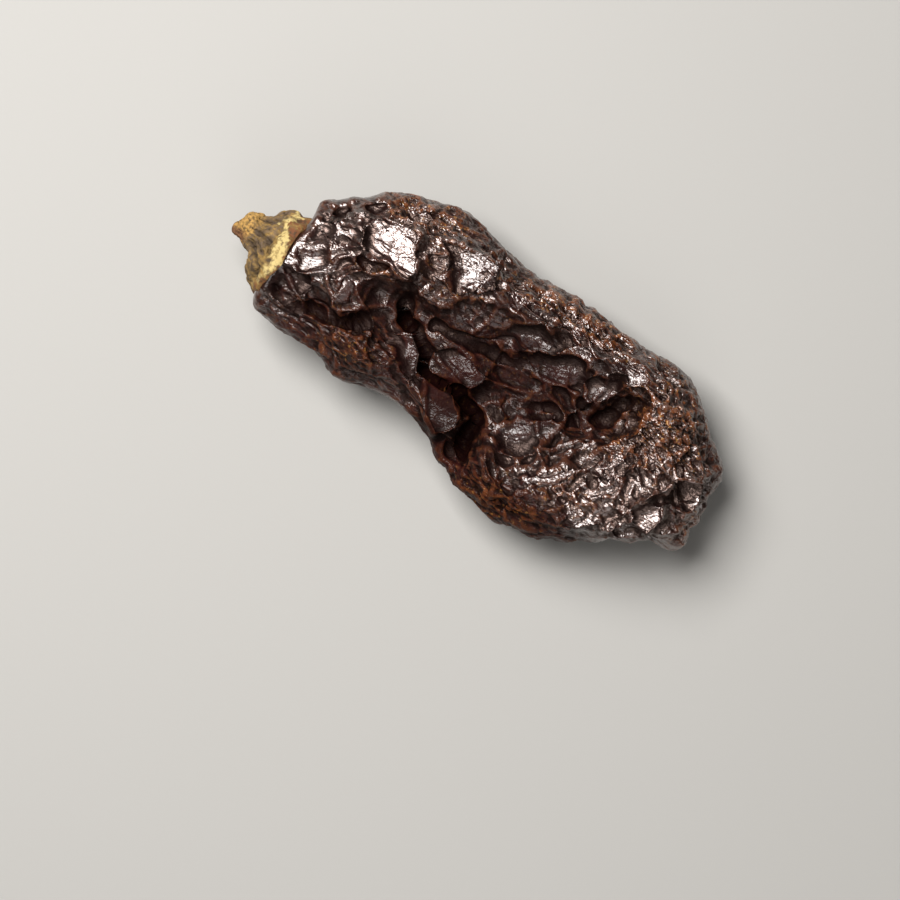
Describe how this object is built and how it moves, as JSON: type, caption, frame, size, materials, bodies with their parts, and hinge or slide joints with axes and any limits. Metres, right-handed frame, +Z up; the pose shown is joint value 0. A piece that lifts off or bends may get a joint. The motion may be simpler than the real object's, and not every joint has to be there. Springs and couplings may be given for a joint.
{
  "type": "dried chipotle pepper",
  "caption": "Dried, smoked chilli pod lying on its side: a collapsed, deeply wrinkled dark skin with a straw-coloured woody calyx and the stub of its stem.",
  "frame": {"origin": "on the surface that the pod rests on, under the middle of the whole object's box", "axes": "+X along the pod from the stem to the tip, +Z up, +Y across the pod"},
  "size_m": [0.0704, 0.032, 0.0182],
  "materials": {
    "dried_skin": "glossy, wrinkled, near-black maroon skin with rusty brown ridges",
    "dry_calyx": "dry, fibrous, straw-coloured and matt"
  },
  "bodies": {
    "root": {"pod": "dried_skin", "calyx_and_stem": "dry_calyx"}
  },
  "joints": []
}
